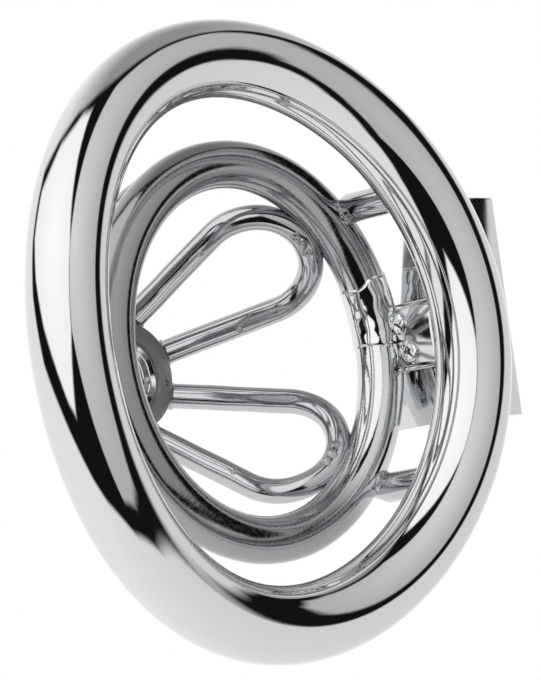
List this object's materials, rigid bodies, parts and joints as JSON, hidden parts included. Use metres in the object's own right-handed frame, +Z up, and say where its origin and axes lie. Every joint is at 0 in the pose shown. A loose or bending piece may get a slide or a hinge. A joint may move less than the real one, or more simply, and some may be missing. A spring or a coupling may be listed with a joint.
{
  "type": "lockable steel ring cage",
  "caption": "Bent polished base ring with a smaller cage ring, a dome of wire loops round a threaded hub, guide pins and a key lock that lets the cage lift off.",
  "frame": {"origin": "middle of the bounding box at the surface the base ring lies on", "axes": "+Z up along the ring axes towards the hub, +X from the base ring's centre towards the lock, +Y along the lock body away from its keyway"},
  "size_m": [0.0748, 0.0662, 0.0391],
  "materials": {
    "mirror_steel": "mirror polished",
    "wire_steel": "polished wire",
    "tumbled_steel": "tumbled satin",
    "machined_steel": "matte turned face",
    "lock_steel": "polished with softened edges",
    "brass": "drawn, lightly polished"
  },
  "bodies": {
    "base": {"base_ring": "mirror_steel", "lock_tongue": "lock_steel"},
    "cage": {"cage_ring": "tumbled_steel", "ring_sleeve": "mirror_steel", "cage_arm": "lock_steel", "hub": "machined_steel", "hub_insert": "wire_steel", "loop_front_upper": "wire_steel", "loop_front_lower": "wire_steel", "loop_rear_upper": "wire_steel", "loop_rear_lower": "wire_steel", "guide_pin_upper": "wire_steel", "guide_pin_lower": "wire_steel", "lock_housing": "lock_steel", "lock_head": "lock_steel", "lock_barrel": "brass", "lock_face": "lock_steel", "driver_pins": "brass"},
    "plug": {"lock_plug": "brass", "key_pins": "brass"},
    "bolt": {"lock_bolt": "machined_steel"}
  },
  "joints": [
    {"name": "cage_lift", "type": "slide", "parent": "base", "child": "cage", "axis": [0, 0, 1], "range_m": [0, 0.025]},
    {"name": "key_turn", "type": "hinge", "parent": "cage", "child": "plug", "pos_m": [0.03193, -0.012, 0.01265], "axis": [0, 1, 0], "range_deg": [0, 90]},
    {"name": "bolt_slide", "type": "slide", "parent": "cage", "child": "bolt", "axis": [0, 1, 0], "range_m": [0, 0.0047]}
  ],
  "couplings": [
    {"joint": "key_turn", "follows": "bolt_slide", "rad_per_m": 334.21}
  ]
}
